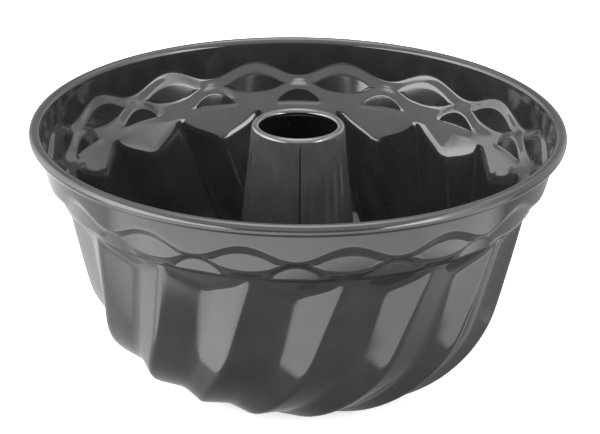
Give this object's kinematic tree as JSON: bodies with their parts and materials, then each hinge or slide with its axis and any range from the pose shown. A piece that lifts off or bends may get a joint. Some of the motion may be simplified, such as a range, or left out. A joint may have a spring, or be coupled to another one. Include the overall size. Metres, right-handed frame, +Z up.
{
  "type": "kugelhopf mould",
  "caption": "Round fluted cake mould with a rolled rim, a pressed band of interlaced cords, swept flutes and a hollow chimney tube in the middle.",
  "frame": {"origin": "on the mould's axis, at the plane it stands on", "axes": "+Z up along the axis, out of the mould's mouth; the chimney's lap seam faces -Y; +X is to the right of someone facing the seam"},
  "size_m": [0.22, 0.22, 0.11],
  "materials": {
    "body_enamel": "glossy dark grey enamel on drawn steel sheet",
    "chimney_enamel": "glossy dark grey enamel on rolled steel sheet"
  },
  "bodies": {
    "root": {"body": "body_enamel", "chimney": "chimney_enamel"}
  },
  "joints": []
}
